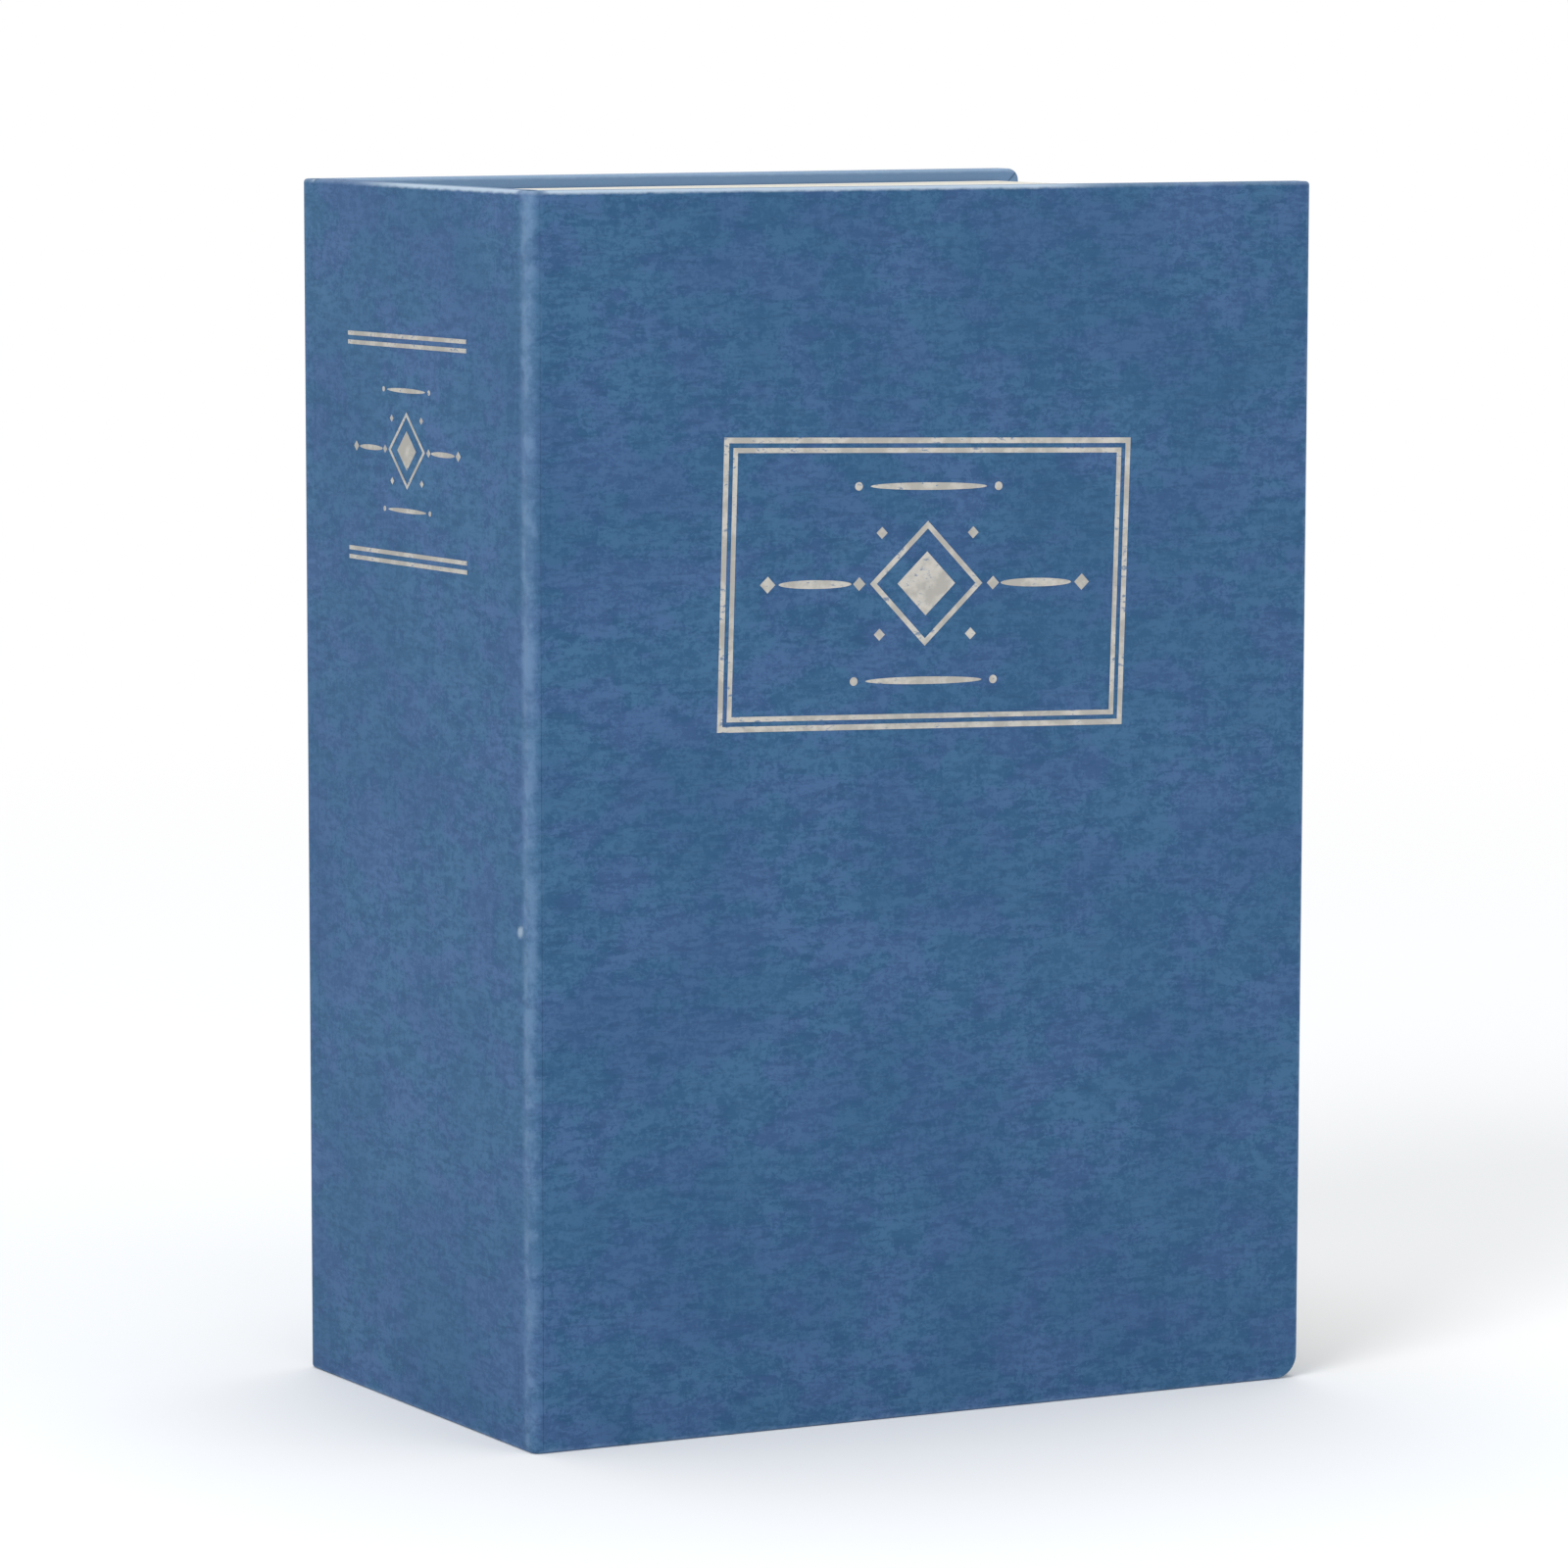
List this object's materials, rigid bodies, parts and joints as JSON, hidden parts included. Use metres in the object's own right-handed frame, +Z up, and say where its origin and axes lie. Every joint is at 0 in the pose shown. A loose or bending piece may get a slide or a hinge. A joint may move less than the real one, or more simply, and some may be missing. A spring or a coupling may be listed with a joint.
{
  "type": "book money box",
  "caption": "Small upright dictionary-style book hiding a lockable steel tray; the cloth cover opens at two folds and the hinged lid has a cam lock.",
  "frame": {"origin": "middle of the foot of the box that the object takes up, with the front cover ajar as stored", "axes": "+Z up from foot to head, +X from the spine to the fore-edge, +Y from the front cover to the back cover"},
  "size_m": [0.08, 0.0534, 0.115],
  "materials": {
    "cloth": "matt linen-grain blue book covering with silver-cream line ornament",
    "board": "grey binder's board, hidden",
    "lining": "off-white lining paper",
    "page_block": "moulded off-white page edges",
    "black_steel": "black powder coat",
    "black_rivets": "black powder coat",
    "zinc_steel": "zinc plated",
    "brass": "stamped brass",
    "chrome": "polished nickel"
  },
  "bodies": {
    "back": {"back_board": "board", "back_cloth": "cloth", "back_lining": "lining", "page_block": "page_block", "tray": "black_steel", "tray_leaf": "zinc_steel", "tray_rivets": "zinc_steel", "hinge_pin": "zinc_steel"},
    "spine": {"spine_board": "board", "spine_cloth": "cloth", "spine_lining": "lining"},
    "front": {"front_board": "board", "front_cloth": "cloth", "front_lining": "lining"},
    "lid": {"lid": "black_steel", "lid_leaf": "zinc_steel", "lid_rivets": "black_rivets", "lock_housing": "chrome", "lock_washer": "zinc_steel", "lock_nut": "zinc_steel"},
    "lock": {"lock_plug": "chrome", "lock_wafers": "brass", "stop_disc": "zinc_steel", "lock_cam": "zinc_steel", "cam_screw": "zinc_steel"}
  },
  "joints": [
    {"name": "spine_hinge", "type": "hinge", "parent": "back", "child": "spine", "pos_m": [-0.04, 0.02668, 0.0575], "axis": [0, 0, -1], "range_deg": [0, 90]},
    {"name": "cover_hinge", "type": "hinge", "parent": "spine", "child": "front", "pos_m": [-0.04, -0.01832, 0.0575], "axis": [0, 0, -1], "range_deg": [-6, 174]},
    {"name": "lid_hinge", "type": "hinge", "parent": "back", "child": "lid", "pos_m": [-0.0353, -0.01147, 0.0575], "axis": [0, 0, -1], "range_deg": [0, 100]},
    {"name": "lock_turn", "type": "hinge", "parent": "lid", "child": "lock", "pos_m": [0.022, -0.01362, 0.0575], "axis": [0, 1, 0], "range_deg": [0, 90]}
  ],
  "couplings": [
    {"joint": "lid_hinge", "follows": "spine_hinge", "ratio": 1.111}
  ]
}
